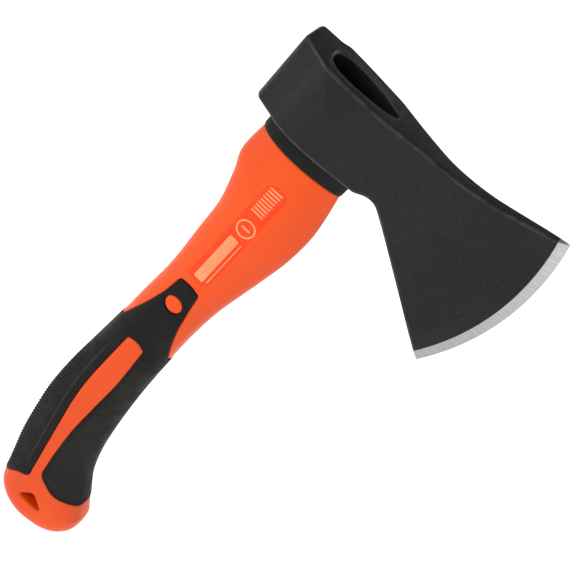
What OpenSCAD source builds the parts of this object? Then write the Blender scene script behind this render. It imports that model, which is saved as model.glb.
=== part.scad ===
// Hand axe for felling and limbing: forged steel head on a fibreglass core,
// inside a moulded plastic handle with a rubber grip.
// The handle stands along Z with its butt at the bottom, the cutting edge
// faces +X, and Y is the thickness. All sizes are in millimetres.

/* [Head] */
// Length of the head from poll face to cutting edge
head_length = 147; // [143:1:151]
// Height of the head at the poll and eye
head_height = 38.5; // [36:0.5:41]
// Widest thickness of the head, at the eye
head_thickness = 30; // [28.8:0.2:32]
// Height that the toe rises above the flat top
toe_rise = 14; // [10:1:18]
// Depth that the heel drops below the flat top
heel_drop = 83.2; // [79:0.1:86]
// Radius of the curved cutting edge
edge_radius = 134; // [120:1:150]
// Width of the ground bevel
bevel_width = 5; // [4:0.2:6.6]
// Thickness of the steel where the bevel starts
bevel_thickness = 3.6; // [3:0.2:3.8]

/* [Eye] */
// Length of the eye below its chamfer
eye_length = 37.4; // [36.6:0.2:38.2]
// Width of the eye below its chamfer
eye_width = 15; // [14.4:0.2:15.6]
// Width of the chamfer round the mouth of the eye
eye_chamfer = 1.2; // [0.8:0.1:1.5]
// Depth of the resin filling below the flat top
resin_depth = 10; // [8:0.5:12]

/* [Handle] */
// Length of the handle from its butt to the collar
handle_length = 297.5; // [288:0.5:307]
// Thickness of the handle relative to the standard one
thickness_factor = 1; // [0.94:0.01:1.06]
// Height of the collar between handle and head
collar_height = 11; // [9:0.5:14]
// How far the collar stands out past the handle
collar_proud = 0.6; // [0.4:0.1:1]
// Width of the flat fibreglass core
core_width = 16; // [12:0.5:18]
// Thickness of the fibreglass core
core_thickness = 7; // [5:0.5:7.5]
// Height of the core's lower end above the butt
core_bottom = 92; // [80:1:120]

/* [Grip] */
// Thickness of the rubber moulded into the handle
grip_depth = 2; // [1.5:0.1:2.4]
// How far the rubber stands out past the plastic
grip_proud = 0.4; // [0.2:0.1:0.6]
// Thickness of the label film
label_depth = 0.4; // [0.3:0.1:0.6]

/* [Hidden] */

// Heights along the handle
collar_base_z = handle_length;
head_base_z = collar_base_z + collar_height;
head_top_z = head_base_z + head_height;
resin_top_z = head_top_z - resin_depth;
tenon_top_z = resin_top_z - 3;

// Places along X, from the axis of the eye
poll_x = -32.4;
edge_x = poll_x + head_length;
centre_x = (poll_x + edge_x) / 2;
core_x = 3.5;
edge_centre = [edge_x - edge_radius, head_top_z - 27.1];
// Where the underside turns down to the heel, and the top starts up to the toe
throat_x = 27.9;
flare_x = 44;
flare_radius = 120;
// Length of the poll, and how far its top corner stands above the flat top
poll_length = 11.5;
poll_rise = 1.6;

// Shape of the eye and of the tenon that fills it
eye_x = 0.4;
eye_blunt = 2.5;
eye_skew = 0.3;
resin_gap = 2;
collar_blunt = 2;
collar_skew = 0.25;

// Numbers of steps on curves
egg_steps = 64;
ring_sides = 28;
station_steps = 3;
cap_steps = 7;
fillet_steps = 6;
arc_steps = 24;
flare_steps = 10;
cheek_steps = 5;

// Stations down the handle, each with the back edge x, z, the front edge x, z,
// half the thickness, the bluntness of the section and its skew to the back
// Index of each value in a station
BACK_X = 0;
BACK_Z = 1;
FRONT_X = 2;
FRONT_Z = 3;
HALF_T = 4;
BLUNT = 5;
SKEW = 6;
STATIONS = [
    [-21.8, 297.5, 24.7, 297.5, 7.9, 2.0, 0.25],
    [-22.6, 280.0, 28.0, 280.0, 8.7, 2.0, 0.22],
    [-18.6, 267.5, 29.3, 267.5, 9.3, 2.0, 0.18],
    [-14.3, 250.0, 28.8, 250.0, 9.8, 2.1, 0.14],
    [-13.1, 230.0, 26.2, 230.0, 10.2, 2.1, 0.10],
    [-11.8, 203.0, 22.2, 203.0, 10.7, 2.2, 0.06],
    [-12.7, 181.0, 20.8, 181.0, 11.3, 2.2, 0.05],
    [-13.6, 156.0, 20.9, 156.0, 12.0, 2.3, 0.05],
    [-15.2, 129.0, 21.9, 129.0, 12.8, 2.3, 0.05],
    [-16.4, 106.0, 23.5, 107.0, 13.2, 2.3, 0.05],
    [-16.2, 84.0, 25.8, 86.0, 13.4, 2.4, 0.05],
    [-14.1, 64.0, 28.5, 69.5, 13.5, 2.4, 0.05],
    [-11.2, 45.0, 33.1, 53.0, 13.6, 2.5, 0.04],
    [-7.2, 28.0, 39.9, 39.0, 13.8, 2.7, 0.02],
    [-3.8, 13.0, 47.6, 25.0, 14.0, 3.0, 0.0]
];
STATION_TOP = 297.5;
CAP_LENGTH = 19;
CAP_BACK_BLUNT = 2.1;
CAP_FRONT_BLUNT = 2.5;
CAP_EDGE_BLUNT = 5;

// Half thickness of the head along its length, as [x, half thickness] for a
// head of the standard thickness
CHEEK = [
    [-32.4, 8.9], [-26, 10.6], [-20.5, 12.1], [-16.5, 13.9], [-7, 15.0], [4, 14.2],
    [17, 11.7], [30, 8.5], [46, 5.6], [64, 4.3], [86, 3.1], [118, 1.8]
];
CHEEK_STANDARD = 30;

// Rubber pad, seen from the side, with a rounding radius at each corner
PAD = [
    [-2.5, 207.2, 2], [3.7, 208.6, 12], [10.2, 206.6, 2], [11.8, 194.7, 30],
    [14.0, 181.0, 30], [16.4, 171.5, 20], [21.5, 155, 10], [34, 140, 0],
    [62, 60, 0], [62, 34.6, 0], [38, 34.6, 8], [26.5, 32.4, 12], [14.2, 38.6, 8],
    [12.9, 50.0, 0], [8.0, 43.0, 0], [9.9, 31.5, 4.5], [2.8, 26.0, 8],
    [-4.8, 13.5, 8], [-20, 8.0, 0], [-34, 40, 0], [-34, 140, 0],
    [-13.4, 157.5, 12], [-9.6, 171.0, 20], [-6.3, 183.0, 30], [-3.8, 194.4, 30]
];
// Long window in the pad, open to the butt
LEAF = [
    [-1.8, 156.8, 1.2], [3.6, 159.4, 8], [8.9, 156.4, 1.2], [10.7, 129, 60],
    [10.2, 106, 60], [10.1, 82, 40], [12.4, 55, 0], [13.9, 37, 0], [9.0, 36, 0],
    [6.7, 50.7, 0], [1.7, 81.6, 60], [-0.9, 101.7, 60], [-2.1, 121, 60]
];
// Round window in the pad
OVAL_CENTRE = [3.9, 192.4];
OVAL_LENGTH = 10;
OVAL_WIDTH = 8.8;
OVAL_LEAN = 108;
// Hole for hanging the axe up
HANG_HOLE = [[11.2, 14.8, 1.4], [18.4, 24.0, 2.4], [30.2, 15.6, 1.4]];
// Label panel on one side of the handle
LABEL = [[-1.8, 212, 4], [10.2, 212, 4], [10.2, 283, 5], [-1.8, 283, 5]];

function unit(v) = v / norm(v);

// One coordinate of a smooth curve through four values
function spline(a, b, c, d, t) =
    b + (c - a) * t / 2 + (2 * a - 5 * b + 4 * c - d) * t * t / 2
    + (3 * b - a - 3 * c + d) * t * t * t / 2;

// Smooth curve through all points, with a number of steps between each two
function smooth(points, steps) =
    let (last = len(points) - 1)
    concat(
        [for (i = [0 : last - 1], s = [0 : steps - 1])
            spline(points[max(i - 1, 0)], points[i], points[i + 1],
                points[min(i + 2, last)], s / steps)],
        [points[last]]);

// Arc of circle from one angle to another
function arc(centre, radius, from, to, steps) =
    [for (i = [0 : steps])
        let (a = from + (to - from) * i / steps)
        centre + radius * [cos(a), sin(a)]];

// Points of one rounded corner, at b between a and c
function corner(a, b, c, radius) =
    radius == 0 ? [b] :
    let (u = unit(a - b),
        v = unit(c - b),
        half = acos(u * v) / 2,
        reach = radius / tan(half),
        middle = b + unit(u + v) * radius / sin(half),
        start = b + u * reach - middle,
        end = b + v * reach - middle,
        from = atan2(start.y, start.x),
        turn = atan2(start.x * end.y - start.y * end.x, start * end))
    arc(middle, radius, from, from + turn, fillet_steps);

// Closed outline with each corner rounded by its third value
function rounded(points) =
    let (n = len(points))
    [for (i = [0 : n - 1])
        let (a = points[(i + n - 1) % n], b = points[i], c = points[(i + 1) % n])
        for (p = corner([a.x, a.y], [b.x, b.y], [c.x, c.y], b.z)) p];

function sign_power(v, p) = sign(v) * pow(abs(v), p);

// Egg outline: length 2a, width 2b, fuller at the back by the skew
function egg(a, b, blunt, skew, steps) =
    [for (i = [0 : steps - 1])
        let (t = 360 * i / steps,
            u = sign_power(cos(t), 2 / blunt),
            v = sign_power(sin(t), 2 / blunt))
        [a * u, b * v * (1 - skew * u)]];

// Ring of the handle: middle, direction of its depth, half sizes and shape
function ring(middle, along, half_depth, half_t, blunt, skew) =
    [for (p = egg(half_depth, half_t, blunt, skew, ring_sides))
        [middle.x + along.x * p.x, p.y, middle.y + along.y * p.x]];

function scaled_z(z) = z * handle_length / STATION_TOP;
function station_back(s) = [s[BACK_X], scaled_z(s[BACK_Z])];
function station_front(s) = [s[FRONT_X], scaled_z(s[FRONT_Z])];

// Ring at a station, with the whole surface moved out by grow
function station_ring(s, grow) =
    let (back = station_back(s), front = station_front(s))
    ring((back + front) / 2, unit(front - back), norm(front - back) / 2 + grow,
        s[HALF_T] * thickness_factor + grow, s[BLUNT], s[SKEW]);

// How much of a half size is left at part of the way (0 to 1) down the butt
function cap_left(t, blunt) = pow(1 - pow(t, blunt), 1 / blunt);

// Rings of the rounded butt, below the last station, squarer at the front
function cap_ring(s, grow, t) =
    let (back = station_back(s),
        front = station_front(s),
        along = unit(front - back),
        down = [along.y, -along.x],
        full = norm(front - back) / 2 + grow,
        back_half = full * cap_left(t, CAP_BACK_BLUNT),
        front_half = full * cap_left(t, CAP_FRONT_BLUNT),
        middle = (back + front) / 2 + down * (CAP_LENGTH + grow) * t)
    ring(middle + along * (front_half - back_half) / 2, along,
        (front_half + back_half) / 2,
        (s[HALF_T] * thickness_factor + grow) * cap_left(t, CAP_EDGE_BLUNT),
        s[BLUNT], s[SKEW]);

function handle_rings(grow) =
    concat(
        [for (s = smooth(STATIONS, station_steps)) station_ring(s, grow)],
        [for (i = [1 : cap_steps])
            cap_ring(STATIONS[len(STATIONS) - 1], grow, sin(89 * i / cap_steps))]);

// Lowest point of the handle's surface, which the butt stands on
butt_low = min([for (r = handle_rings(0), p = r) p.z]);

// Closed surface through a stack of rings
module skin(rings) {
    sides = len(rings[0]);
    last = len(rings) - 1;
    points = [for (r = rings, p = r) p];
    walls = [for (i = [0 : last - 1], j = [0 : sides - 1])
        let (k = (j + 1) % sides,
            a = i * sides + j,
            b = i * sides + k,
            c = (i + 1) * sides + k,
            d = (i + 1) * sides + j)
        for (face = [[a, b, c], [a, c, d]]) face];
    top = [[for (j = [sides - 1 : -1 : 0]) j]];
    bottom = [[for (j = [0 : sides - 1]) last * sides + j]];
    polyhedron(points = points, faces = concat(top, walls, bottom));
}

// Places a sub-part: origin under the middle of the whole axe, butt at zero
module placed() {
    translate([-centre_x, 0, -butt_low])
        children();
}

// Moulded part, kept as one smooth skin in facets
module moulded() {
    resize([0, 0, 0])
        children();
}

// Side outline pushed through the whole thickness
module side_plate(outline, half = 40) {
    rotate([90, 0, 0])
        linear_extrude(2 * half, center = true)
            polygon(outline);
}

module egg_prism(centre, half_length, half_width, blunt, skew, from, to) {
    translate([centre, 0, from])
        linear_extrude(to - from)
            polygon(egg(half_length, half_width, blunt, skew, egg_steps));
}

module handle_form(grow) {
    skin(handle_rings(grow));
}

module tenon() {
    egg_prism(eye_x, eye_length / 2 - resin_gap, eye_width / 2 - resin_gap,
        eye_blunt, eye_skew, collar_base_z - 5, tenon_top_z);
}

// Flat bar with round edges, from the grip to the top of the tenon
module core_bar(over = 0) {
    flat = core_width - core_thickness;
    translate([core_x, 0, core_bottom])
        linear_extrude(tenon_top_z + over - core_bottom)
            union() {
                square([flat, core_thickness], center = true);
                for (side = [-1, 1])
                    translate([side * flat / 2, 0])
                        circle(d = core_thickness, $fn = 48);
            }
}

// Space of the rubber pad, from the inner surface of the pocket outwards
module grip_space() {
    difference() {
        side_plate(rounded(PAD));
        side_plate(rounded(LEAF), 41);
        translate([OVAL_CENTRE.x, 0, OVAL_CENTRE.y])
            side_plate([for (p = egg(OVAL_LENGTH / 2, OVAL_WIDTH / 2, 2, 0, 32))
                [p.x * sin(OVAL_LEAN) + p.y * cos(OVAL_LEAN),
                    p.x * cos(OVAL_LEAN) - p.y * sin(OVAL_LEAN)]], 41);
        handle_form(-grip_depth);
    }
}

// Space of the label, on the -Y side only
module label_space() {
    difference() {
        translate([0, -20, 0])
            side_plate(rounded(LABEL), 20);
        handle_form(-label_depth);
    }
}

// Side outline of the head
function head_outline() =
    let (heel_z = head_top_z - heel_drop,
        toe_z = head_top_z + toe_rise,
        heel_a = asin((heel_z - edge_centre.y) / edge_radius),
        toe_a = asin((toe_z - edge_centre.y) / edge_radius),
        edge = arc(edge_centre, edge_radius, heel_a, toe_a, arc_steps),
        flare_centre = [flare_x, head_top_z + flare_radius],
        reach = edge[arc_steps] - flare_centre,
        flare_end = atan2(reach.y, reach.x) - acos(flare_radius / norm(reach)),
        flare = arc(flare_centre, flare_radius, -90, flare_end, flare_steps))
    rounded(concat(
        [[poll_x, head_top_z + poll_rise, 2], [poll_x, head_base_z, 2.5],
            [throat_x, head_base_z, 6], [throat_x + 8, head_base_z + 4, 9]],
        [[edge[0].x, edge[0].y, 1.5]],
        [for (i = [1 : arc_steps - 1]) [edge[i].x, edge[i].y, 0]],
        [[edge[arc_steps].x, edge[arc_steps].y, 1]],
        [for (i = [0 : flare_steps]) [flare[flare_steps - i].x, flare[flare_steps - i].y, 0]],
        [[poll_x + poll_length, head_top_z, 8]]));

// Outline of the head from above
function cheek_outline() =
    let (k = head_thickness / CHEEK_STANDARD,
        side = [for (p = smooth(CHEEK, cheek_steps)) [p.x, p.y * k]],
        n = len(side))
    concat(side, [for (i = [n - 1 : -1 : 0]) [side[i].x, -side[i].y]]);

// Disc with a ground rim, whose rim is the cutting edge
module bevel_disc() {
    thick = head_thickness;
    inner = edge_radius - bevel_width;
    full = inner - 70;
    translate([edge_centre.x, 0, edge_centre.y])
        rotate([90, 0, 0])
            rotate_extrude($fn = 180)
                polygon([[0, -thick], [full, -thick], [inner, -bevel_thickness / 2],
                    [edge_radius, -0.1], [edge_radius, 0.1], [inner, bevel_thickness / 2],
                    [full, thick], [0, thick]]);
}

module eye_cut() {
    half_l = eye_length / 2;
    half_w = eye_width / 2;
    egg_prism(eye_x, half_l, half_w, eye_blunt, eye_skew, head_base_z - 1, head_top_z + 1);
    translate([eye_x, 0, head_top_z - eye_chamfer])
        linear_extrude(eye_chamfer * 2, scale = 1 + 2 * eye_chamfer / half_w)
            polygon(egg(half_l, half_w, eye_blunt, eye_skew, egg_steps));
}

module axe_head() {
    color([0.17, 0.17, 0.18])
        placed()
            difference() {
                intersection() {
                    side_plate(head_outline());
                    translate([0, 0, head_base_z - heel_drop])
                        linear_extrude(head_height + 2 * heel_drop)
                            polygon(cheek_outline());
                    bevel_disc();
                }
                eye_cut();
            }
}

module eye_resin() {
    color([0.05, 0.05, 0.05])
        placed()
            difference() {
                egg_prism(eye_x, eye_length / 2, eye_width / 2, eye_blunt, eye_skew,
                    head_base_z, resin_top_z);
                tenon();
            }
}

module collar() {
    top = STATIONS[0];
    color([0.1, 0.1, 0.1])
        placed()
            difference() {
                egg_prism((top[BACK_X] + top[FRONT_X]) / 2,
                    (top[FRONT_X] - top[BACK_X]) / 2 + collar_proud,
                    top[HALF_T] * thickness_factor + collar_proud,
                    collar_blunt, collar_skew, collar_base_z, head_base_z);
                tenon();
            }
}

module fibreglass_core() {
    color([0.85, 0.8, 0.55])
        placed()
            core_bar();
}

module handle_shell() {
    color([0.96, 0.36, 0.13])
        placed() moulded()
            difference() {
                union() {
                    handle_form(0);
                    tenon();
                }
                grip_space();
                label_space();
                core_bar(over = 1);
                side_plate(rounded(HANG_HOLE));
            }
}

module rubber_grip() {
    color([0.15, 0.15, 0.14])
        placed() moulded()
            intersection() {
                handle_form(grip_proud);
                grip_space();
            }
}

module label_film() {
    color([0.95, 0.3, 0.1])
        placed() moulded()
            intersection() {
                handle_form(0);
                label_space();
            }
}

axe_head();
eye_resin();
collar();
fibreglass_core();
handle_shell();
rubber_grip();
label_film();
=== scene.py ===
"""Felling axe: detailed meshes, materials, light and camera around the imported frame.

Metres throughout. The handle stands along +Z, the cutting edge faces +X and Y is the thickness.
"""
import math

import bpy
import numpy as np
from mathutils import Matrix, Vector


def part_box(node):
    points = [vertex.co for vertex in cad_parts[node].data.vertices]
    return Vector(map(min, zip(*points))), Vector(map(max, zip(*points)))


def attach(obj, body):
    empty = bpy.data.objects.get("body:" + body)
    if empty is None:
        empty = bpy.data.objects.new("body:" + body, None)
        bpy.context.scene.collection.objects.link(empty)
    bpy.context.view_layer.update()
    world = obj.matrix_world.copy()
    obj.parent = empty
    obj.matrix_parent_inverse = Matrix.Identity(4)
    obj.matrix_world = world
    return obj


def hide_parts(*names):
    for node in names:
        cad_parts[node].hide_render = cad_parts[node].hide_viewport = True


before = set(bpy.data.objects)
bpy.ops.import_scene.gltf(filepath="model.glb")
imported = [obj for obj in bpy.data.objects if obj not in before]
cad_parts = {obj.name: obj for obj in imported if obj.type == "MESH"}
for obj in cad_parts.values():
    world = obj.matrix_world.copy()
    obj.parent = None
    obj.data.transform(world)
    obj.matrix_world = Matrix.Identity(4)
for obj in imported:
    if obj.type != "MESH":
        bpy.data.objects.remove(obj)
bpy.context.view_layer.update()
MM = 0.001

# ---------------------------------------------------------------- places taken from the frame
HEAD_LOW, HEAD_HIGH = (np.array(c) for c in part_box("axe_head"))
COLLAR_LOW, COLLAR_HIGH = (np.array(c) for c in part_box("collar"))
RESIN_HIGH = np.array(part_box("eye_resin")[1])

# The shapes below are in mm, with x from the eye's axis and z from a base near the butt's end.
POLL_X = -32.4                                  # the poll's face
COLLAR_BASE_Z = 297.5                           # where the handle ends and the collar starts
HEAD_HEIGHT = 38.5                              # the head from its base to its flat top
EYE_AXIS_X = HEAD_LOW[0] / MM - POLL_X          # the eye's axis in the frame, in mm
STATION_DROP = COLLAR_LOW[2] / MM - COLLAR_BASE_Z    # the base in the frame, in mm
HEAD_TOP = COLLAR_HIGH[2] / MM - STATION_DROP + HEAD_HEIGHT
EDGE_R = 134.0                                  # the cutting edge's arc
EDGE_DROP = 27.1                                # the arc's centre below the head's top
EDGE_CENTRE = np.array([HEAD_HIGH[0] / MM - EYE_AXIS_X - EDGE_R, HEAD_TOP - EDGE_DROP])


def to_frame(points):
    """Points in mm from the eye's axis and the base, in the frame's metres."""
    return (np.asarray(points) + [EYE_AXIS_X, 0, STATION_DROP]) * MM


# ---------------------------------------------------------------- curves and outlines
EGG_SAMPLES = 721
CORNER_STEPS = 8


def spline(values, at):
    """Smooth curve through all values (rows), read at fractional row numbers."""
    values = np.asarray(values, float)
    last = len(values) - 1
    i = np.clip(np.floor(at).astype(int), 0, last - 1)
    t = (at - i)[:, None]
    a, b = values[np.maximum(i - 1, 0)], values[i]
    c, d = values[i + 1], values[np.minimum(i + 2, last)]
    return b + (c - a) * t / 2 + (2 * a - 5 * b + 4 * c - d) * t ** 2 / 2 \
        + (3 * b - a - 3 * c + d) * t ** 3 / 2


def egg(a, b, blunt, skew, count):
    """Egg outline of length 2a and width 2b, its points evenly spaced, counted from the front."""
    t = np.linspace(0, 2 * math.pi, EGG_SAMPLES)
    u = np.sign(np.cos(t)) * np.abs(np.cos(t)) ** (2 / blunt)
    v = np.sign(np.sin(t)) * np.abs(np.sin(t)) ** (2 / blunt)
    x, y = a * u, b * v * (1 - skew * u)
    run = np.concatenate([[0], np.cumsum(np.hypot(np.diff(x), np.diff(y)))])
    at = np.arange(count) / count * run[-1]
    return np.stack([np.interp(at, run, x), np.interp(at, run, y)], 1)


def arc(centre, radius, start, end, steps):
    """Points on an arc, with its angles in radians."""
    turn = np.linspace(start, end, steps + 1)
    return np.array(centre) + radius * np.stack([np.cos(turn), np.sin(turn)], 1)


def rounded(points):
    """Closed outline with each corner (x, z, radius) rounded."""
    out = []
    count = len(points)
    for i, (x, z, radius) in enumerate(points):
        b = np.array([x, z], float)
        if radius == 0:
            out.append(b[None])
            continue
        u = np.array(points[i - 1][:2]) - b
        v = np.array(points[(i + 1) % count][:2]) - b
        u, v = u / np.linalg.norm(u), v / np.linalg.norm(v)
        half = math.acos(float(np.clip(u @ v, -1, 1))) / 2
        middle = b + (u + v) / np.linalg.norm(u + v) * radius / math.sin(half)
        start = b + u * radius / math.tan(half) - middle
        end = b + v * radius / math.tan(half) - middle
        turn = math.atan2(start[0] * end[1] - start[1] * end[0], float(start @ end))
        first = math.atan2(start[1], start[0])
        out.append(arc(middle, radius, first, first + turn, CORNER_STEPS))
    return np.concatenate(out)


def inside_distance(points, outline):
    """Distance of each point from a closed outline, positive inside it."""
    best = np.full(len(points), 1e9)
    odd = np.zeros(len(points), bool)
    x, z = points[:, 0], points[:, 1]
    for a, b in zip(outline, np.roll(outline, -1, axis=0)):
        ab = b - a
        length = ab @ ab
        if length < 1e-12:
            continue
        t = np.clip(((points - a) @ ab) / length, 0, 1)
        best = np.minimum(best, np.hypot(x - a[0] - t * ab[0], z - a[1] - t * ab[1]))
        if a[1] != b[1]:
            crosses = (a[1] > z) != (b[1] > z)
            odd ^= crosses & (x < a[0] + (z - a[1]) * ab[0] / ab[1])
    return np.where(odd, best, -best)


def smoothstep(low, high, value):
    """Smooth rise from 0 at low to 1 at high. It falls where low is the larger."""
    t = np.clip((value - low) / (high - low), 0, 1)
    return t * t * (3 - 2 * t)


# ---------------------------------------------------------------- mesh tools
def new_mesh(name, verts, faces, material, smooth=True):
    """New object in the scene, with one material."""
    mesh = bpy.data.meshes.new(name)
    mesh.from_pydata([tuple(v) for v in verts], [], [tuple(int(i) for i in f) for f in faces])
    mesh.validate()
    obj = bpy.data.objects.new(name, mesh)
    bpy.context.scene.collection.objects.link(obj)
    mesh.materials.append(material)
    mesh.polygons.foreach_set("use_smooth", [smooth] * len(mesh.polygons))
    return obj


def grid_faces(rows, columns, closed):
    """Quads of a grid of rows, closed round the columns or open."""
    last = columns if closed else columns - 1
    r, c = (i.ravel() for i in np.meshgrid(np.arange(rows - 1), np.arange(last), indexing="ij"))
    n = (c + 1) % columns
    quads = np.stack([r * columns + c, r * columns + n, (r + 1) * columns + n, (r + 1) * columns + c], 1)
    return list(map(tuple, quads))


def split_at(verts, faces, fields, column, levels):
    """Splits the faces where one column of the points' fields passes each level."""
    near = 1e-6
    for level in levels:
        flat = np.concatenate([np.array(f) for f in faces])
        sizes = [len(f) for f in faces]
        starts = np.concatenate([[0], np.cumsum(sizes)[:-1]])
        field = fields[:, column] - level
        offset = field[flat]
        crossed = np.maximum.reduceat(offset, starts) > near
        crossed &= np.minimum.reduceat(offset, starts) < -near
        new_verts, new_fields, cut = [], [], {}

        def cut_point(i, j):
            key = (i, j) if i < j else (j, i)
            if key not in cut:
                first, last = key
                t = field[first] / (field[first] - field[last])
                cut[key] = len(verts) + len(new_verts)
                new_verts.append(verts[first] + (verts[last] - verts[first]) * t)
                values = fields[first] + (fields[last] - fields[first]) * t
                values[column] = level
                new_fields.append(values)
            return cut[key]

        out = [tuple(faces[k]) for k in np.nonzero(~crossed)[0]]
        for k in np.nonzero(crossed)[0]:
            face = faces[k]
            above, below = [], []
            for n, i in enumerate(face):
                j = face[(n + 1) % len(face)]
                if field[i] >= -near:
                    above.append(i)
                if field[i] <= near:
                    below.append(i)
                if (field[i] > near and field[j] < -near) or (field[i] < -near and field[j] > near):
                    middle = cut_point(i, j)
                    above.append(middle)
                    below.append(middle)
            out += [tuple(part) for part in (above, below) if len(part) > 2]
        if new_verts:
            verts = np.concatenate([verts, np.array(new_verts)])
            fields = np.concatenate([fields, np.array(new_fields)])
        faces = out
    return verts, faces, fields


def keep_faces(verts, faces, keep, fields):
    """Drops the faces that aren't kept and the points that nothing uses."""
    faces = [f for f, k in zip(faces, keep) if k]
    used = np.unique(np.concatenate([np.array(f) for f in faces]))
    index = np.full(len(verts), -1)
    index[used] = np.arange(len(used))
    return verts[used], [tuple(index[list(f)]) for f in faces], fields[used]


def face_means(faces, values):
    """Mean of the points' values on each face."""
    return np.array([values[list(f)].mean() for f in faces])


def unit_rows(rows):
    return rows / np.linalg.norm(rows, axis=1, keepdims=True)


def border_edges(faces):
    """Directed edges that only one face uses, in the faces' order."""
    edges = dict.fromkeys((i, f[(k + 1) % len(f)]) for f in faces for k, i in enumerate(f))
    return [(i, j) for i, j in edges if (j, i) not in edges]


def egg_row(centre, half_l, half_w, blunt, skew, z, count=144):
    """Level egg-shaped loop of points."""
    loop = egg(half_l, half_w, blunt, skew, count)
    return np.stack([loop[:, 0] + centre, loop[:, 1], np.full(count, z)], 1)


def stacked(name, rows, material):
    """Closed skin through loops of equal length, given from the bottom up."""
    count = len(rows[0])
    faces = grid_faces(len(rows), count, True)
    faces += [tuple(range(count))[::-1], tuple(range((len(rows) - 1) * count, len(rows) * count))]
    return new_mesh(name, to_frame(np.concatenate(rows)), faces, material)


# ---------------------------------------------------------------- handle surface
# Stations down the handle: back x, z, front x, z, half thickness, bluntness, skew
STATIONS = [
    [-21.8, 297.5, 24.7, 297.5, 7.9, 2.0, 0.25],
    [-22.6, 280.0, 28.0, 280.0, 8.7, 2.0, 0.22],
    [-18.6, 267.5, 29.3, 267.5, 9.3, 2.0, 0.18],
    [-14.3, 250.0, 28.8, 250.0, 9.8, 2.1, 0.14],
    [-13.1, 230.0, 26.2, 230.0, 10.2, 2.1, 0.10],
    [-11.8, 203.0, 22.2, 203.0, 10.7, 2.2, 0.06],
    [-12.7, 181.0, 20.8, 181.0, 11.3, 2.2, 0.05],
    [-13.6, 156.0, 20.9, 156.0, 12.0, 2.3, 0.05],
    [-15.2, 129.0, 21.9, 129.0, 12.8, 2.3, 0.05],
    [-16.4, 106.0, 23.5, 107.0, 13.2, 2.3, 0.05],
    [-16.2, 84.0, 25.8, 86.0, 13.4, 2.4, 0.05],
    [-14.1, 64.0, 28.5, 69.5, 13.5, 2.4, 0.05],
    [-11.2, 45.0, 33.1, 53.0, 13.6, 2.5, 0.04],
    [-7.2, 28.0, 39.9, 39.0, 13.8, 2.7, 0.02],
    [-3.8, 13.0, 47.6, 25.0, 14.0, 3.0, 0.0],
]
LAST_STATION = len(STATIONS) - 1
SPLINE_SAMPLES = 1501
CAP_LENGTH, CAP_BACK_BLUNT, CAP_FRONT_BLUNT, CAP_EDGE_BLUNT = 19.0, 2.1, 2.5, 5.0
CAP_LAST_ANGLE = 89.3                           # the butt's last ring, just short of its pole

# Outlines seen from the side: x, z and, where there is a third number, the corner's radius
PAD = [
    (-2.5, 207.2, 2), (3.7, 208.6, 12), (10.2, 206.6, 2), (11.8, 194.7, 30),
    (14.0, 181.0, 30), (16.4, 171.5, 20), (21.5, 155, 10), (34, 140, 0),
    (62, 60, 0), (62, 34.6, 0), (38, 34.6, 8), (26.5, 32.4, 12), (14.2, 38.6, 8),
    (12.6, 52.0, 0), (8.0, 43.0, 0), (9.9, 31.5, 4.5), (2.8, 26.0, 8),
    (-4.8, 13.5, 8), (-20, 8.0, 0), (-34, 40, 0), (-34, 140, 0),
    (-13.4, 157.5, 12), (-9.6, 171.0, 20), (-6.3, 183.0, 30), (-3.8, 194.4, 30),
]
LEAF_TOP = [(-1.8, 156.8, 1.2), (3.6, 159.4, 8), (8.9, 156.4, 1.2)]
LEAF_FRONT = [(8.9, 156.4), (10.6, 129), (10.3, 106), (10.2, 82),
              (11.7, 60), (12.6, 52), (13.1, 45), (13.0, 37)]
LEAF_BACK = [(9.0, 36), (6.7, 50.7), (1.9, 81.6), (-0.9, 101.7), (-2.1, 121), (-1.8, 156.8)]
OVAL_CENTRE, OVAL_HALF_L, OVAL_HALF_W = np.array([3.9, 192.4]), 5.0, 4.4
OVAL_LONG_WAY = np.array([0.951, -0.309])
HANG_HOLE = [(11.2, 14.8, 1.4), (18.4, 24.0, 2.4), (30.2, 15.6, 1.4)]
LABEL = [(-1.8, 212, 4), (10.2, 212, 4), (10.2, 283, 5), (-1.8, 283, 5)]
FAR_OUTSIDE = -9.0                              # label distance given to the side without a label


def leaf_outline():
    """Outline of the long window: rounded top corners and two smooth sides."""
    sides = [spline(side, np.linspace(0, len(side) - 1, 40))[1:-1] for side in (LEAF_FRONT, LEAF_BACK)]
    front = [(*p, 0) for p in sides[0]] + [(*LEAF_FRONT[-1], 0), (*LEAF_BACK[0], 0)]
    return rounded(LEAF_TOP + front + [(*p, 0) for p in sides[1]])


def label_distance(verts):
    """Distance inside the label's outline, on the near side only."""
    return np.where(verts[:, 1] < 0, inside_distance(verts[:, [0, 2]], rounded(LABEL)), FAR_OUTSIDE)


def ring(station, sides):
    """One ring of the handle, square to its run from back to front."""
    back, front = np.array(station[0:2]), np.array(station[2:4])
    along = (front - back) / np.linalg.norm(front - back)
    shape = egg(np.linalg.norm(front - back) / 2, station[4], station[5], station[6], sides)
    middle = (back + front) / 2
    return np.stack([middle[0] + along[0] * shape[:, 0], shape[:, 1],
                     middle[1] + along[1] * shape[:, 0]], 1)


def cap_left(reach, blunt):
    """How much of a half size is left at part of the way (0 to 1) down the butt."""
    return (1 - reach ** blunt) ** (1 / blunt)


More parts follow.
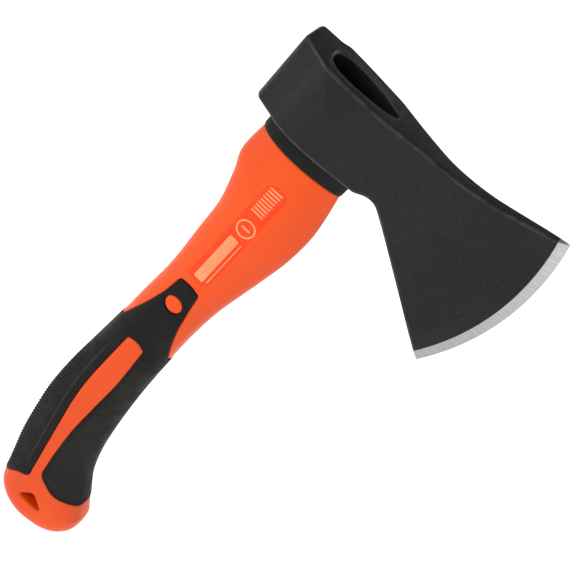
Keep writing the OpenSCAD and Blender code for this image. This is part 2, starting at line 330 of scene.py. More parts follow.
def cap_station(reach):
    """Station at part of the way (0 to 1) down the rounded butt, squarer at the front."""
    last = np.array(STATIONS[-1])
    back, front = last[0:2], last[2:4]
    along = (front - back) / np.linalg.norm(front - back)
    down = np.array([along[1], -along[0]])
    middle = (back + front) / 2 + down * CAP_LENGTH * reach
    full = np.linalg.norm(front - back) / 2
    low_back = middle - along * full * cap_left(reach, CAP_BACK_BLUNT)
    low_front = middle + along * full * cap_left(reach, CAP_FRONT_BLUNT)
    thick = last[4] * cap_left(reach, CAP_EDGE_BLUNT)
    return np.concatenate([low_back, low_front, [thick], last[5:]])


def handle_grid(spacing, sides, top_station, cap_rings):
    """Grid over the handle from a station down to the butt: points and outward normals."""
    row = np.linspace(0, LAST_STATION, SPLINE_SAMPLES)
    dense = spline(STATIONS, row)
    middle = (dense[:, 0:2] + dense[:, 2:4]) / 2
    run = np.concatenate([[0], np.cumsum(np.linalg.norm(np.diff(middle, axis=0), axis=1))])
    start = np.interp(top_station, row, run)
    steps = int((run[-1] - start) / spacing)
    at = np.interp(np.linspace(start, run[-1], steps), run, row)
    stations = list(spline(STATIONS, at))
    stations += [cap_station(math.sin(math.radians(CAP_LAST_ANGLE * i / cap_rings)))
                 for i in range(1, cap_rings + 1)]
    points = np.stack([ring(s, sides) for s in stations])
    down = np.gradient(points, axis=0)
    around = np.roll(points, -1, axis=1) - np.roll(points, 1, axis=1)
    normal = np.cross(down, around)
    normal /= np.linalg.norm(normal, axis=2, keepdims=True) + 1e-12
    middle = points.mean(axis=1, keepdims=True)
    if ((points - middle) * normal).sum() < 0:
        normal = -normal
    return points, normal


def grip_field(xz):
    """Distance inside the rubber pad, seen from the side."""
    circle = arc((0, 0), 1, 0, 2 * math.pi, 48)[:-1]
    across = np.array([-OVAL_LONG_WAY[1], OVAL_LONG_WAY[0]])
    oval = inside_distance(xz, OVAL_CENTRE + circle[:, :1] * OVAL_HALF_L * OVAL_LONG_WAY
                           + circle[:, 1:] * OVAL_HALF_W * across)
    pad = inside_distance(xz, rounded(PAD))
    leaf = inside_distance(xz, leaf_outline())
    return np.minimum(np.minimum(pad, -leaf), -oval)


# ---------------------------------------------------------------- materials
FLOOR_GLOW = 0.72                               # lifts the floor to the photo's white


def srgb(red, green, blue):
    """Linear colour of an sRGB colour given as 0 to 255."""
    return tuple((c / 255 / 12.92) if c <= 10 else ((c / 255 + 0.055) / 1.055) ** 2.4
                 for c in (red, green, blue)) + (1.0,)


class Look:
    """Material under construction, with short calls for its nodes."""

    def __init__(self, name, specular, metallic=0.0):
        self.material = bpy.data.materials.new(name)
        self.material.use_nodes = True
        self.tree = self.material.node_tree
        self.shader = self.tree.nodes["Principled BSDF"]
        self.shader.inputs["Metallic"].default_value = metallic
        self.shader.inputs["Specular IOR Level"].default_value = specular
        self.place = self.tree.nodes.new("ShaderNodeTexCoord").outputs["Object"]

    def node(self, kind, **settings):
        """New node of a kind, with its settings."""
        node = self.tree.nodes.new(kind)
        for key, value in settings.items():
            setattr(node, key, value)
        return node

    def link(self, source, target):
        self.tree.links.new(source, target)

    def stretched(self, scale):
        """Object coordinates, scaled along each axis."""
        mapping = self.node("ShaderNodeMapping")
        mapping.inputs["Scale"].default_value = scale
        self.link(self.place, mapping.inputs["Vector"])
        return mapping.outputs["Vector"]

    def noise(self, scale, detail=4.0, stretch=None, roughness=0.55):
        node = self.node("ShaderNodeTexNoise")
        node.inputs["Scale"].default_value = scale
        node.inputs["Detail"].default_value = detail
        node.inputs["Roughness"].default_value = roughness
        self.link(self.stretched(stretch) if stretch else self.place, node.inputs["Vector"])
        return node.outputs["Fac"]

    def band(self, value, low, high, out_low=0.0, out_high=1.0):
        """Smooth step of a value between low and high."""
        node = self.node("ShaderNodeMapRange", interpolation_type="SMOOTHSTEP")
        limits = {"From Min": low, "From Max": high, "To Min": out_low, "To Max": out_high}
        for key, number in limits.items():
            node.inputs[key].default_value = number
        self.link(value, node.inputs["Value"])
        return node.outputs["Result"]

    def math(self, operation, a, b):
        """Sum or product of two values, each a number or a node's output."""
        node = self.node("ShaderNodeMath", operation=operation)
        for socket, value in zip(node.inputs, (a, b)):
            if isinstance(value, (int, float)):
                socket.default_value = value
            else:
                self.link(value, socket)
        return node.outputs["Value"]

    def mix(self, factor, a, b):
        """Mix of two colours, through the colour sockets of the Mix node."""
        node = self.node("ShaderNodeMix", data_type="RGBA")
        self.link(factor, node.inputs["Factor"])
        for socket, value in ((node.inputs[6], a), (node.inputs[7], b)):
            if isinstance(value, tuple):
                socket.default_value = value
            else:
                self.link(value, socket)
        return node.outputs[2]

    def attribute(self, name):
        """A number that store() keeps for each point."""
        return self.node("ShaderNodeAttribute", attribute_name=name).outputs["Fac"]

    def colour(self, value):
        self.link(value, self.shader.inputs["Base Color"])

    def rough(self, value):
        self.link(value, self.shader.inputs["Roughness"])

    def bump(self, *layers):
        """Adds bump layers, each a height, a strength and a distance in metres."""
        normal = None
        for height, strength, distance in layers:
            node = self.node("ShaderNodeBump")
            node.inputs["Strength"].default_value = strength
            node.inputs["Distance"].default_value = distance
            self.link(height, node.inputs["Height"])
            if normal is not None:
                self.link(normal, node.inputs["Normal"])
            normal = node.outputs["Normal"]
        self.link(normal, self.shader.inputs["Normal"])


def orange_plastic():
    look = Look("orange_plastic", specular=0.22)
    flow = look.noise(18, 3, (1, 1, 0.35))
    fine = look.noise(900, 3)
    base = look.mix(look.band(flow, 0.35, 0.68), srgb(208, 66, 4), srgb(218, 74, 8))
    scuffs = look.band(look.noise(260, 6, (1, 1, 0.2), 0.7), 0.63, 0.75)
    look.colour(look.mix(look.math("MULTIPLY", scuffs, 0.35), base, srgb(250, 112, 50)))
    smooth = look.band(look.noise(60, 5), 0.3, 0.75, 0.3, 0.42)
    look.rough(look.math("ADD", smooth, look.math("MULTIPLY", scuffs, 0.1)))
    look.bump((fine, 0.12, 0.00006), (look.noise(140, 3), 0.1, 0.0002))
    return look.material


def grip_rubber():
    look = Look("grip_rubber", specular=0.12)
    mottled = look.noise(45, 5)
    base = look.mix(look.band(mottled, 0.3, 0.72), srgb(11, 10, 10), srgb(20, 19, 18))
    # Painted highlight: the crests of the ribs, the border line and the knurl are lightened in the base
    # colour, broken up by noise.
    crest_highlight_mask = look.attribute("painted_crest_highlight")
    highlight_breakup = look.band(look.noise(380, 4), 0.5, 0.72)
    highlight_amount = look.math("MULTIPLY", crest_highlight_mask, look.math("ADD", 0.32, look.math("MULTIPLY", highlight_breakup, 0.3)))
    look.colour(look.mix(highlight_amount, base, srgb(78, 74, 69)))
    look.rough(look.band(look.noise(120, 5), 0.3, 0.7, 0.5, 0.66))
    knurl = look.attribute("knurl")
    look.bump((look.noise(1700, 2), 0.3, 0.0001), (knurl, 1.0, 0.00016))
    return look.material


def powder_coat():
    look = Look("powder_coat", specular=0.18)
    cloud = look.noise(14, 4)
    base = look.mix(look.band(cloud, 0.3, 0.7), srgb(15, 15, 16), srgb(23, 23, 24))
    fleck = look.noise(1400, 3, roughness=0.7)
    base = look.mix(look.math("MULTIPLY", look.band(fleck, 0.5, 0.72), 0.42), base, srgb(56, 56, 57))
    # Painted highlight: the rounded rims and the eye's lip are lightened in the base colour, in patches.
    patchy = look.band(look.noise(160, 5), 0.3, 0.65, 0.15, 0.8)
    painted_rim_highlight = look.math("MULTIPLY", look.attribute("rim"), patchy)
    look.colour(look.mix(painted_rim_highlight, base, srgb(62, 62, 63)))
    look.rough(look.band(look.noise(90, 4), 0.3, 0.7, 0.42, 0.56))
    look.bump((look.noise(1150, 3), 0.6, 0.00014), (look.noise(230, 4), 0.25, 0.0004),
              (look.noise(35, 3), 0.25, 0.0012))
    return look.material


def ground_steel():
    look = Look("ground_steel", specular=0.5, metallic=1.0)
    lines = look.node("ShaderNodeTexNoise", noise_dimensions="1D")
    lines.inputs["Scale"].default_value = 1.0
    lines.inputs["Detail"].default_value = 6.0
    lines.inputs["Roughness"].default_value = 0.75
    look.link(look.attribute("grind"), lines.inputs["W"])
    streak = lines.outputs["Fac"]
    look.colour(look.mix(look.band(streak, 0.3, 0.72), srgb(126, 127, 128), srgb(180, 180, 180)))
    look.rough(look.band(streak, 0.3, 0.7, 0.28, 0.44))
    look.bump((streak, 0.5, 0.00006), (look.noise(400, 3), 0.2, 0.00005))
    return look.material


def moulded_look(name, low, high, roughness):
    """Dull moulded or cast material, mottled between two sRGB colours."""
    look = Look(name, specular=0.14)
    look.colour(look.mix(look.band(look.noise(60, 4), 0.3, 0.7), srgb(*low), srgb(*high)))
    look.rough(look.band(look.noise(150, 4), 0.3, 0.7, roughness, roughness + 0.12))
    look.bump((look.noise(1100, 3), 0.35, 0.0001), (look.noise(160, 3), 0.2, 0.0003))
    return look.material


def label_look(name, low, high, roughness):
    """Smooth film or print, mottled between two sRGB colours."""
    look = Look(name, specular=0.2)
    look.colour(look.mix(look.band(look.noise(70, 4), 0.3, 0.7), srgb(*low), srgb(*high)))
    look.rough(look.band(look.noise(220, 4), 0.3, 0.7, roughness, roughness + 0.1))
    look.bump((look.noise(700, 3), 0.15, 0.00005), (look.noise(90, 2), 0.1, 0.0002))
    return look.material


def floor_look():
    look = Look("pale_floor", specular=0.1)
    clouds = look.band(look.noise(3, 3), 0.3, 0.7)
    look.colour(look.mix(clouds, (0.86, 0.86, 0.86, 1), (0.88, 0.88, 0.88, 1)))
    look.rough(look.band(look.noise(40, 3), 0.3, 0.7, 0.85, 0.95))
    look.bump((look.noise(700, 2), 0.05, 0.0001))
    look.shader.inputs["Emission Color"].default_value = (1, 1, 1, 1)
    look.shader.inputs["Emission Strength"].default_value = FLOOR_GLOW
    return look.material


ORANGE = orange_plastic()
RUBBER = grip_rubber()
COAT = powder_coat()
STEEL = ground_steel()
COLLAR_BLACK = moulded_look("collar_black", (7, 6, 7), (12, 11, 12), 0.42)
RESIN_BLACK = moulded_look("resin_black", (6, 6, 7), (11, 11, 12), 0.45)
FILM = label_look("label_orange", (222, 56, 3), (228, 62, 6), 0.3)
PRINT = label_look("label_print", (255, 132, 88), (255, 146, 102), 0.34)


# ---------------------------------------------------------------- pieces
def store(obj, name, values):
    """Keeps one number for each point of a mesh, for its material to read."""
    layer = obj.data.attributes.new(name, "FLOAT", "POINT")
    layer.data.foreach_set("value", np.asarray(values, np.float32))


def finish_piece(obj, node):
    """Puts a piece on the root body and hides the CAD node it stands for."""
    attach(obj, "root")
    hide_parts(node)


def quarter(t):
    """Fall of a rounded edge, 0 where it starts and 1 at its foot."""
    t = np.clip(t, 0, 1)
    return 1 - np.sqrt(1 - t * t)


GROOVE_WIDTH, GROOVE_LIP, GROOVE_DEPTH = 0.5, 0.3, 0.75     # round the rubber, for its skirt
HOLE_LIP, HOLE_LIP_DEPTH = 1.3, 0.9
FILM_EDGE, FILM_SINK = 0.3, 0.12                # shallow bed of the label
WALL_STEPS = 10
ON_LEVEL = 1e-6


def seen_from_side(vert):
    """Key that a point shares with its mirror image on the other side."""
    return round(float(vert[0]), 4), round(float(vert[2]), 4)


def add_hole_wall(verts, faces, hole):
    """Walls of the hang hole, from one side's rim to the other's."""
    rim = [(i, j) for i, j in border_edges(faces) if hole[i] > -ON_LEVEL and hole[j] > -ON_LEVEL]
    partner = {seen_from_side(verts[i]): i for e in rim for i in e if verts[i][1] > 0}
    columns = {}

    def column(i):
        if i not in columns:
            far = partner[seen_from_side(verts[i])]
            ids = [i]
            for k in range(1, WALL_STEPS):
                t = k / WALL_STEPS
                verts.append(verts[i] * (1 - t) + verts[far] * t)
                ids.append(len(verts) - 1)
            columns[i] = ids + [far]
        return columns[i]

    for i, j in rim:
        if verts[i][1] < 0:
            a, b = column(i), column(j)
            faces += [(a[k + 1], b[k + 1], b[k], a[k]) for k in range(WALL_STEPS)]


def close_loops(faces):
    """Closes each open loop of edges with one face."""
    follow = dict(border_edges(faces))
    done = set()
    for start in list(follow):
        loop, at = [], start
        while at not in done and at in follow:
            done.add(at)
            loop.append(at)
            at = follow[at]
        if len(loop) > 2:
            faces.append(tuple(loop[::-1]))


def make_handle():
    """Orange handle with a groove round the rubber, the hang hole and the label's bed."""
    sides = 112
    pad_field, hole_field, label_field = 3, 4, 5
    points, normals = handle_grid(spacing=1.0, sides=sides, top_station=0.0, cap_rings=26)
    verts = points.reshape(-1, 3)
    xz = verts[:, [0, 2]]
    fields = np.column_stack([normals.reshape(-1, 3), grip_field(xz),
                              inside_distance(xz, rounded(HANG_HOLE)), label_distance(verts)])
    faces = grid_faces(len(points), sides, True)
    verts, faces, fields = split_at(
        verts, faces, fields, pad_field,
        (-GROOVE_WIDTH, -GROOVE_WIDTH * 0.6, -GROOVE_WIDTH * 0.25, 0.0, 0.04))
    verts, faces, fields = split_at(
        verts, faces, fields, hole_field,
        (-HOLE_LIP, -HOLE_LIP * 0.7, -HOLE_LIP * 0.4, -HOLE_LIP * 0.15, 0.0))
    verts, faces, fields = split_at(verts, faces, fields, label_field, (-FILM_EDGE, 0.0))
    outside_hole = face_means(faces, fields[:, hole_field]) < 0
    verts, faces, fields = keep_faces(verts, faces, outside_hole, fields)
    pad, hole = fields[:, pad_field], fields[:, hole_field]
    height = -GROOVE_LIP * quarter((pad + GROOVE_WIDTH) / GROOVE_WIDTH)
    height = np.where(pad > 0.02, -GROOVE_DEPTH, height)
    height -= HOLE_LIP_DEPTH * quarter((hole + HOLE_LIP) / HOLE_LIP)
    height -= FILM_SINK * smoothstep(-FILM_EDGE, 0.0, fields[:, label_field])
    verts = list(verts + unit_rows(fields[:, :3]) * height[:, None])
    add_hole_wall(verts, faces, hole)
    close_loops(faces)
    obj = new_mesh("handle_shell_moulded", to_frame(verts), faces, ORANGE)
    finish_piece(obj, "handle_shell")


# Heights and distances on the rubber, in mm
GRIP_PROUD, GRIP_GAP, GRIP_LIP, GRIP_SKIRT = 0.4, 0.3, 0.9, 1.0
BORDER_OFF, BORDER_WIDTH, BORDER_HEIGHT = 4.6, 0.42, 0.3    # raised line beside the long window
RIB_PITCH, RIB_SLANT, RIB_DEPTH = 2.15, 0.8, 0.85
KNURL_PITCH, KNURL_DEPTH = 1.5, 0.24
PAD_LOWEST = 10                                 # the pad ends above this height
BORDER_LOW, BORDER_TOP = 36, 150                # heights of the border line's ends


def make_grip():
    """Rubber over the grip, ribbed on its back and knurled on its belly."""
    sides = 208
    pad_field = 3
    points, normals = handle_grid(spacing=0.32, sides=sides, top_station=4.6, cap_rings=6)
    rows = int(np.argmax(points[:, :, 2].max(axis=1) < PAD_LOWEST)) or len(points)
    points, normals = points[:rows], normals[:rows]
    along = np.concatenate([[0], np.cumsum(np.linalg.norm(np.diff(points.mean(axis=1), axis=0), axis=1))])
    around = np.zeros((rows, sides))
    steps = np.linalg.norm(np.roll(points, -1, axis=1) - points, axis=2)
    around[:, 1:] = np.cumsum(steps, axis=1)[:, :-1]
    girth = steps.sum(axis=1, keepdims=True)
    around = np.where(around > girth / 2, around - girth, around)      # 0 at the front line
    verts = points.reshape(-1, 3)
    pad = grip_field(verts[:, [0, 2]])
    leaf = inside_distance(verts[:, [0, 2]], leaf_outline())
    fields = np.column_stack([normals.reshape(-1, 3), pad, leaf, np.repeat(along, sides),
                              around.ravel(), np.repeat(girth[:, 0], sides)])
    faces = grid_faces(rows, sides, True)
    verts, faces, fields = keep_faces(verts, faces, face_means(faces, pad) > -0.5, fields)
    verts, faces, fields = split_at(verts, faces, fields, pad_field,
                                    [GRIP_GAP + GRIP_LIP * k for k in (0, 0.12, 0.35, 0.7)])
    inside_pad = face_means(faces, fields[:, pad_field]) > GRIP_GAP
    verts, faces, fields = keep_faces(verts, faces, inside_pad, fields)
    normal = unit_rows(fields[:, :3])
    pad, leaf, along, around, girth = fields[:, pad_field:].T
    z = verts[:, 2]
    turn = np.abs(around) / girth                                       # 0 in front, 0.5 behind
    off = -leaf                                                         # distance off the window
    back = smoothstep(0.24, 0.36, turn)
    inner = smoothstep(1.6, 3.0, pad)
    # border line beside the long window, on the back strip
    on_back = (turn > 0.25) & (z < BORDER_TOP) & (z > BORDER_LOW)
    top_fade = smoothstep(BORDER_TOP, BORDER_TOP - 12, z)
    fade = top_fade * smoothstep(BORDER_LOW, BORDER_LOW + 10, z)
    border = np.exp(-((off - BORDER_OFF) / BORDER_WIDTH) ** 2) * on_back * fade
    # ribs across the back, fading towards the border line
    rib_wave = 0.5 + 0.5 * np.cos(2 * math.pi * (along + RIB_SLANT * np.abs(verts[:, 1])) / RIB_PITCH)
    rib_zone = smoothstep(6.2, 9.6, off) * back * smoothstep(135, 120, z) * smoothstep(1.2, 4.0, pad)
    ribs = smoothstep(0.1, 0.9, rib_wave) * rib_zone
    # knurl on the belly, along both diagonals
    front = smoothstep(0.3, 0.2, turn) * top_fade
    one = np.cos(2 * math.pi * (along + around) / (KNURL_PITCH * math.sqrt(2)))
    two = np.cos(2 * math.pi * (along - around) / (KNURL_PITCH * math.sqrt(2)))
    knurl = np.clip(0.5 + 0.35 * (one + two), 0, 1) * front * inner
    height = GRIP_PROUD - (GRIP_PROUD + 0.05) * quarter(1 - (pad - GRIP_GAP) / GRIP_LIP)
    height += -RIB_DEPTH * (rib_zone - ribs) + BORDER_HEIGHT * border
    height -= KNURL_DEPTH * front * inner * (1 - knurl)
    verts = list(verts + normal * height[:, None])
    top_count = len(verts)
    # skirt into the handle's groove
    low = {}
    for i, j in border_edges(faces):
        if pad[i] > GRIP_GAP + 0.01 or pad[j] > GRIP_GAP + 0.01:
            continue
        for v in (i, j):
            if v not in low:
                low[v] = len(verts)
                verts.append(verts[v] - normal[v] * GRIP_SKIRT)
        faces.append((i, low[i], low[j], j))
    obj = new_mesh("rubber_grip_moulded", to_frame(verts), faces, RUBBER)
    # painted highlight on the crests of the ribs, the border line and the knurl, stored for the material
    painted_crest_highlight = np.clip(ribs * 0.8 + border * 0.9 + knurl * 0.5, 0, 1)
    on_skirt = np.zeros(len(verts) - top_count)
    store(obj, "painted_crest_highlight", np.concatenate([painted_crest_highlight, on_skirt]))
    store(obj, "knurl", np.concatenate([knurl, on_skirt]))
    finish_piece(obj, "rubber_grip")


# ---------------------------------------------------------------- head
HEAD_BASE = HEAD_TOP - HEAD_HEIGHT
# Half thickness of the cheek (second) at x (first)
CHEEK = [
    [-32.4, 8.9], [-26, 10.6], [-20.5, 12.1], [-16.5, 13.9], [-7, 15.0], [4, 14.2],
    [17, 11.7], [30, 8.5], [46, 5.6], [64, 4.3], [86, 3.1], [118, 1.8],
]
POLL_LENGTH, POLL_RISE, THROAT_X = 11.5, 1.6, 27.9
BEVEL_WIDTH, BEVEL_HALF, EDGE_HALF = 5.0, 1.8, 0.1
SHOULDER_SLOPE = 0.12                           # the cheek's rise from the bevel's shoulder
RIM_RADIUS, POLL_RIM_EXTRA = 1.3, 1.3
FLARE_X, FLARE_R = 44.0, 120.0
TOE_Z, HEEL_Z = HEAD_TOP + 14.0, HEAD_TOP - 83.2
GRIND_SPREAD = 2.2                              # noise units for each mm along the edge
EYE_X, EYE_HALF_L, EYE_HALF_W, EYE_BLUNT, EYE_SKEW, EYE_CHAMFER = 0.4, 18.7, 7.5, 2.5, 0.3, 1.2


def edge_point(z):
    """Point of the cutting edge at a height."""
    rise = z - EDGE_CENTRE[1]
    return np.array([EDGE_CENTRE[0] + math.sqrt(EDGE_R * EDGE_R - rise * rise), z])


def head_outline(over):
    """Side outline of the head, with the cutting edge moved out by over."""
    toe, heel = edge_point(TOE_Z), edge_point(HEEL_Z)
    centre = np.array([FLARE_X, HEAD_TOP + FLARE_R])
    reach = toe - centre
    touch = math.atan2(reach[1], reach[0]) - math.acos(FLARE_R / np.linalg.norm(reach))
    flare = arc(centre, FLARE_R, -math.pi / 2, touch, 16)
    root = np.array([THROAT_X + 8.0, HEAD_BASE + 4.0])
    toe_way = (toe - flare[-1]) / np.linalg.norm(toe - flare[-1])
    heel_way = (heel - root) / np.linalg.norm(heel - root)
    points = [(POLL_X, HEAD_TOP + POLL_RISE, 2.2), (POLL_X, HEAD_BASE, 2.5)]
    points += [(THROAT_X, HEAD_BASE, 6), (*root, 9)]
    points += [(*(heel + heel_way * over), 0), (*(toe + toe_way * over), 0)]
    points += [(*p, 0) for p in flare[::-1]] + [(POLL_X + POLL_LENGTH, HEAD_TOP, 8)]
    return rounded(points)


def cheek_half(x):
    """Half thickness of the cheek at x, without rims or bevel."""
    rows = spline(CHEEK, np.linspace(0, len(CHEEK) - 1, 400))
    return np.interp(x, rows[:, 0], rows[:, 1])


def head_half_thickness(x, inside, radial):
    """Half thickness of the head, with its rounded rims and its ground edge."""
    half = cheek_half(x)
    to_edge = np.clip(EDGE_R - radial, 0, None)
    grind = EDGE_HALF + (BEVEL_HALF - EDGE_HALF) * to_edge / BEVEL_WIDTH
    shoulder = BEVEL_HALF + (to_edge - BEVEL_WIDTH) * SHOULDER_SLOPE
    half = np.where(to_edge < BEVEL_WIDTH, grind, np.minimum(half, np.maximum(shoulder, BEVEL_HALF)))
    rim = np.minimum(RIM_RADIUS + POLL_RIM_EXTRA * smoothstep(-20, -31, x), 0.5 * half)
    t = np.clip(inside / np.maximum(rim, 1e-6), 0, 1)
    return half - rim + rim * np.sqrt(1 - (1 - t) ** 2)


def egg_distance(xy):
    """Rough distance outside the eye's own outline, seen from above."""
    return -inside_distance(xy - [EYE_X, 0], egg(EYE_HALF_L, EYE_HALF_W, EYE_BLUNT, EYE_SKEW, 90))


def eye_cutter():
    """Solid that cuts the eye and its chamfer out of the head."""
    profile = [(0.0, HEAD_BASE - 5), (0.0, HEAD_TOP - EYE_CHAMFER - 0.5), (0.12, HEAD_TOP - EYE_CHAMFER),
               (0.55, HEAD_TOP - EYE_CHAMFER * 0.4), (EYE_CHAMFER, HEAD_TOP - 0.15),
               (EYE_CHAMFER * 2.6, HEAD_TOP + 3)]
    rows = [egg_row(EYE_X, EYE_HALF_L + grow, EYE_HALF_W + grow, EYE_BLUNT, EYE_SKEW, z, 160)
            for grow, z in profile]
    return stacked("eye_cutter", rows, COAT)


def cut_eye(obj):
    """Cuts the eye with an exact boolean, and applies it."""
    cutter = eye_cutter()
    cut = obj.modifiers.new("eye", "BOOLEAN")
    cut.operation, cut.solver, cut.object = "DIFFERENCE", "EXACT", cutter
    bpy.context.view_layer.update()
    done = bpy.data.meshes.new_from_object(obj.evaluated_get(bpy.context.evaluated_depsgraph_get()))
    obj.modifiers.clear()
    obj.data = done
    bpy.data.objects.remove(cutter)


def make_head():
    """Forged head: a relief over its side outline, mirrored, with the eye cut out."""
    spacing = 1.1
    inside_field, radial_field = 0, 1
    outline = head_outline(over=12.0)
    low = outline.min(axis=0) - 2
    high = np.array([HEAD_HIGH[0] / MM - EYE_AXIS_X, TOE_Z]) + 3
    xs = np.arange(low[0], high[0] + spacing, spacing)
    zs = np.arange(HEEL_Z - 3, high[1] + spacing, spacing)
    grid = np.stack(np.meshgrid(xs, zs, indexing="xy"), -1).reshape(-1, 2)
    faces = grid_faces(len(zs), len(xs), False)
    inside = inside_distance(grid, outline)
    radial = np.hypot(grid[:, 0] - EDGE_CENTRE[0], grid[:, 1] - EDGE_CENTRE[1])
    fields = np.column_stack([inside, radial])
    grid, faces, fields = split_at(grid, faces, fields, inside_field,
                                   (2.6, 1.9, 1.3, 0.8, 0.42, 0.18, 0.05, 0.0))
    in_outline = face_means(faces, fields[:, inside_field]) > 0
    grid, faces, fields = keep_faces(grid, faces, in_outline, fields)
    shoulder = EDGE_R - BEVEL_WIDTH
    grid, faces, fields = split_at(grid, faces, fields, radial_field,
                                   (EDGE_R, EDGE_R - BEVEL_WIDTH / 2, shoulder, shoulder - 0.5))
    behind_edge = face_means(faces, fields[:, radial_field]) < EDGE_R
    grid, faces, fields = keep_faces(grid, faces, behind_edge, fields)
    half = head_half_thickness(grid[:, 0], np.clip(fields[:, inside_field], 0, None),
                               fields[:, radial_field])
    near = np.stack([grid[:, 0], -half, grid[:, 1]], 1)
    far = np.stack([grid[:, 0], half, grid[:, 1]], 1)
    count = len(grid)
    walls = [(i, i + count, j + count, j) for i, j in border_edges(faces)]
    all_faces = faces + [tuple(i + count for i in f)[::-1] for f in faces] + walls
    obj = new_mesh("axe_head_forged", to_frame(np.concatenate([near, far])), all_faces, COAT)
    cut_eye(obj)
    mesh = obj.data
    mesh.materials.clear()
    mesh.materials.append(COAT)
    mesh.materials.append(STEEL)
    co = np.empty(len(mesh.vertices) * 3)
    mesh.vertices.foreach_get("co", co)
    co = co.reshape(-1, 3) / MM - [EYE_AXIS_X, 0, STATION_DROP]         # back to the drawing's mm
    arm = co[:, [0, 2]] - EDGE_CENTRE
    store(obj, "grind", np.arctan2(arm[:, 1], arm[:, 0]) * EDGE_R * GRIND_SPREAD)
    radial = np.hypot(arm[:, 0], arm[:, 1])
    # painted highlight: a lighter band stored on the rounded rims and round the eye's lip
    to_rim = inside_distance(co[:, [0, 2]], outline)
    turned = (to_rim > 0.05) & (to_rim < 1.6)
    lip = egg_distance(co[:, :2])
    at_mouth = (co[:, 2] > HEAD_TOP - EYE_CHAMFER - 0.3) & (lip < 1.6) & (lip > -0.5)
    store(obj, "rim", np.where(turned, 0.8, 0.0) + np.where(at_mouth, 0.9, 0.0))
    for polygon in mesh.polygons:
        on_bevel = radial[list(polygon.vertices)].mean() > EDGE_R - BEVEL_WIDTH + 0.01
        polygon.material_index = 1 if on_bevel else 0
        polygon.use_smooth = True
    mesh.set_sharp_from_angle(angle=math.radians(34))
    finish_piece(obj, "axe_head")


# ---------------------------------------------------------------- collar, resin and label
def make_collar():
    back, _, front, _, half_t, blunt, skew = STATIONS[0]
    centre, half_l = (back + front) / 2, (front - back) / 2
    low, high = COLLAR_LOW[2] / MM - STATION_DROP, HEAD_BASE
    # how far each loop stands out from the handle's top, and its height
    profile = [(-1.5, low), (-0.35, low), (0.1, low + 0.12), (0.38, low + 0.4), (0.5, low + 0.9),
               (0.52, low + 3.0), (0.52, high - 2.0), (0.3, high - 1.1), (-0.05, high - 0.75),
               (-0.1, high - 0.3), (-0.1, high + 0.3), (-2.5, high + 0.3)]
    rows = [egg_row(centre, half_l + grow, half_t + grow, blunt, skew, z) for grow, z in profile]
    obj = stacked("collar_moulded", rows, COLLAR_BLACK)
    obj.data.set_sharp_from_angle(angle=math.radians(50))
    finish_piece(obj, "collar")


def make_resin():
    high = RESIN_HIGH[2] / MM - STATION_DROP
    # how far each loop stands out from the eye's wall, and its height: the top is dished
    profile = [(0.0, high - 6.0), (0.05, high), (-0.15, high - 0.35), (-0.6, high - 0.75),
               (-1.4, high - 1.0), (-2.6, high - 1.15), (-4.5, high - 1.2)]
    rows = [egg_row(EYE_X, EYE_HALF_L + grow, EYE_HALF_W + grow, EYE_BLUNT, EYE_SKEW, z)
            for grow, z in profile]
    obj = stacked("eye_resin_filling", rows, RESIN_BLACK)
    finish_piece(obj, "eye_resin")


def bar(xz, low, high, radius):
    """Distance inside a bar with round corners, given by two opposite corners."""
    centre = (np.array(low) + high) / 2
    half = (np.array(high) - low) / 2 - radius
    away = np.abs(xz - centre) - half
    return radius - np.linalg.norm(np.maximum(away, 0), axis=1) - np.minimum(away.max(axis=1), 0)


def print_field(xz):
    """Distance inside the label's plain printed marks."""
    marks = [bar(xz, (1.2, 214.5), (6.6, 246.5), 0.8), bar(xz, (8.1, 216.0), (8.7, 246.0), 0.25)]
    ring_centre, ring_radius, ring_half_line = (4.6, 254.6), 4.6, 0.45
    from_centre = np.hypot(xz[:, 0] - ring_centre[0], xz[:, 1] - ring_centre[1])
    marks.append(ring_half_line - np.abs(from_centre - ring_radius))
    marks.append(bar(xz, (2.2, 254.0), (7.0, 255.2), 0.4))
    bar_pitch = 1.9
    marks += [bar(xz, (0.0, 264.6 + k * bar_pitch), (7.2, 265.5 + k * bar_pitch), 0.2) for k in range(9)]
    return np.max(marks, axis=0)


FILM_MARGIN, FILM_LIP = 0.05, 0.3               # the film's edge in its bed, and its rounding
FILM_LOW, FILM_RISE, PRINT_RISE = -0.11, 0.09, 0.02     # heights from the handle's surface


def make_label():
    sides = 224
    film_field, print_column = 3, 4
    points, normals = handle_grid(spacing=0.4, sides=sides, top_station=0.2, cap_rings=1)
    verts = points.reshape(-1, 3)
    faces = grid_faces(len(points), sides, True)
    field = label_distance(verts)
    fields = np.column_stack([normals.reshape(-1, 3), field, print_field(verts[:, [0, 2]])])
    verts, faces, fields = keep_faces(verts, faces, face_means(faces, field) > -1, fields)
    verts, faces, fields = split_at(verts, faces, fields, film_field,
                                    (FILM_MARGIN, FILM_MARGIN + FILM_LIP))
    on_film = face_means(faces, fields[:, film_field]) > FILM_MARGIN
    verts, faces, fields = keep_faces(verts, faces, on_film, fields)
    verts, faces, fields = split_at(verts, faces, fields, print_column, (0.0,))
    height = FILM_LOW + FILM_RISE * smoothstep(FILM_MARGIN, FILM_MARGIN + FILM_LIP, fields[:, film_field])
    height += PRINT_RISE * (fields[:, print_column] > -0.01)
    verts = verts + unit_rows(fields[:, :3]) * height[:, None]
    obj = new_mesh("label_panel", to_frame(verts), faces, FILM)
    obj.data.materials.append(PRINT)
    printed = face_means(faces, fields[:, print_column]) > 0
    obj.data.polygons.foreach_set("material_index", printed.astype(int))
    finish_piece(obj, "label_film")


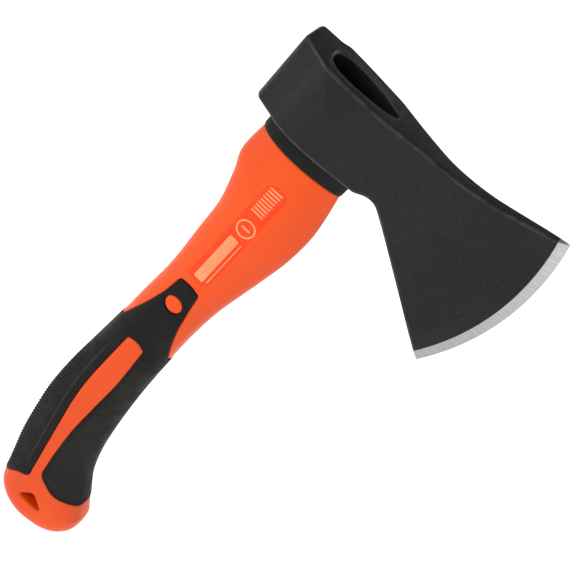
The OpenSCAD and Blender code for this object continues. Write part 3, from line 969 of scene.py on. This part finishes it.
make_handle()
make_grip()
make_head()
make_collar()
make_resin()
make_label()
CORE = moulded_look("fibreglass", (196, 186, 132), (214, 206, 150), 0.4)
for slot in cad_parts["fibreglass_core"].material_slots:
    slot.material = CORE

# ---------------------------------------------------------------- floor, light and camera
FLOOR_HALF = 40
WORLD_STRENGTH = 0.34
LIGHT_SIZE = 0.8
# name, place, the point it shines at, watts
LIGHTS = [
    ("key", (-1.0, -1.0, 0.55), (0, 0, 0.2), 12.5),
    ("fill", (1.0, -0.5, 0.3), (0, 0, 0.15), 5.5),
    ("rim", (0.5, 1.0, 0.7), (0, 0, 0.2), 3),
]
CAMERA_ELEVATION, CAMERA_DISTANCE = math.radians(37), 0.65
CAMERA_LENS, CAMERA_SENSOR = 87.24, 36.0
AIM = Vector((-0.00566, 0.0, 0.24114))          # the point in the middle of the picture

corners = [(-FLOOR_HALF, -FLOOR_HALF, 0), (FLOOR_HALF, -FLOOR_HALF, 0),
           (FLOOR_HALF, FLOOR_HALF, 0), (-FLOOR_HALF, FLOOR_HALF, 0)]
floor = new_mesh("floor", corners, [(0, 1, 2, 3)], floor_look(), False)


def area_light(name, place, target, power):
    data = bpy.data.lights.new(name, "AREA")
    data.shape, data.size, data.energy = "DISK", LIGHT_SIZE, power
    light = bpy.data.objects.new(name, data)
    light.location = place
    light.rotation_euler = (Vector(target) - Vector(place)).to_track_quat("-Z", "Y").to_euler()
    bpy.context.scene.collection.objects.link(light)


world = bpy.data.worlds.new("studio")
world.use_nodes = True
world.node_tree.nodes["Background"].inputs["Color"].default_value = (1, 1, 1, 1)
world.node_tree.nodes["Background"].inputs["Strength"].default_value = WORLD_STRENGTH
bpy.context.scene.world = world
for light in LIGHTS:
    area_light(*light)

# The photo looks along +Y and down, and is rolled by 45 degrees.
back_way = Vector((0, -math.cos(CAMERA_ELEVATION), math.sin(CAMERA_ELEVATION)))
level_up = Vector((0, math.sin(CAMERA_ELEVATION), math.cos(CAMERA_ELEVATION)))
right = (Vector((1, 0, 0)) + level_up).normalized()
up = (level_up - Vector((1, 0, 0))).normalized()
camera_data = bpy.data.cameras.new("camera")
camera_data.lens, camera_data.sensor_width = CAMERA_LENS, CAMERA_SENSOR
camera = bpy.data.objects.new("camera", camera_data)
camera.matrix_world = Matrix((
    (right.x, up.x, back_way.x, 0), (right.y, up.y, back_way.y, 0), (right.z, up.z, back_way.z, 0),
    (0, 0, 0, 1)))
camera.location = AIM + back_way * CAMERA_DISTANCE
bpy.context.scene.collection.objects.link(camera)
bpy.context.scene.camera = camera
bpy.context.scene.view_settings.view_transform = "Standard"
